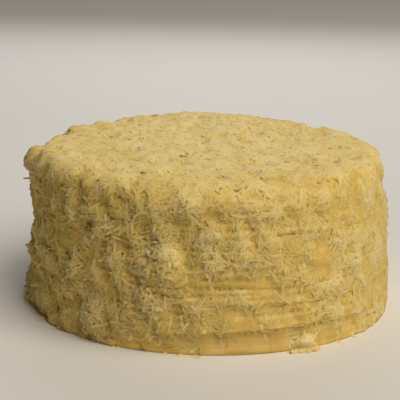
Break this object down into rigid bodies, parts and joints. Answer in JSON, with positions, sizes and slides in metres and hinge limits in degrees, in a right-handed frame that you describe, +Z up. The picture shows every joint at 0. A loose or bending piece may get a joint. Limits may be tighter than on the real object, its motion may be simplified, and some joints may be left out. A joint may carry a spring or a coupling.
{
  "type": "yema cake",
  "caption": "Round uncut yema cake: a low drum of soft sponge under pale yellow custard icing, coated all over in finely grated cheese.",
  "frame": {"origin": "middle of the flat base", "axes": "+Z up along the cake's axis, -Y towards the front that the picture shows"},
  "size_m": [0.2055, 0.2052, 0.0908],
  "materials": {
    "grated_cheese": "dull, soft and a little translucent",
    "yema_icing": "satin, moist and a little translucent"
  },
  "bodies": {
    "root": {"cake": "grated_cheese"}
  },
  "joints": []
}
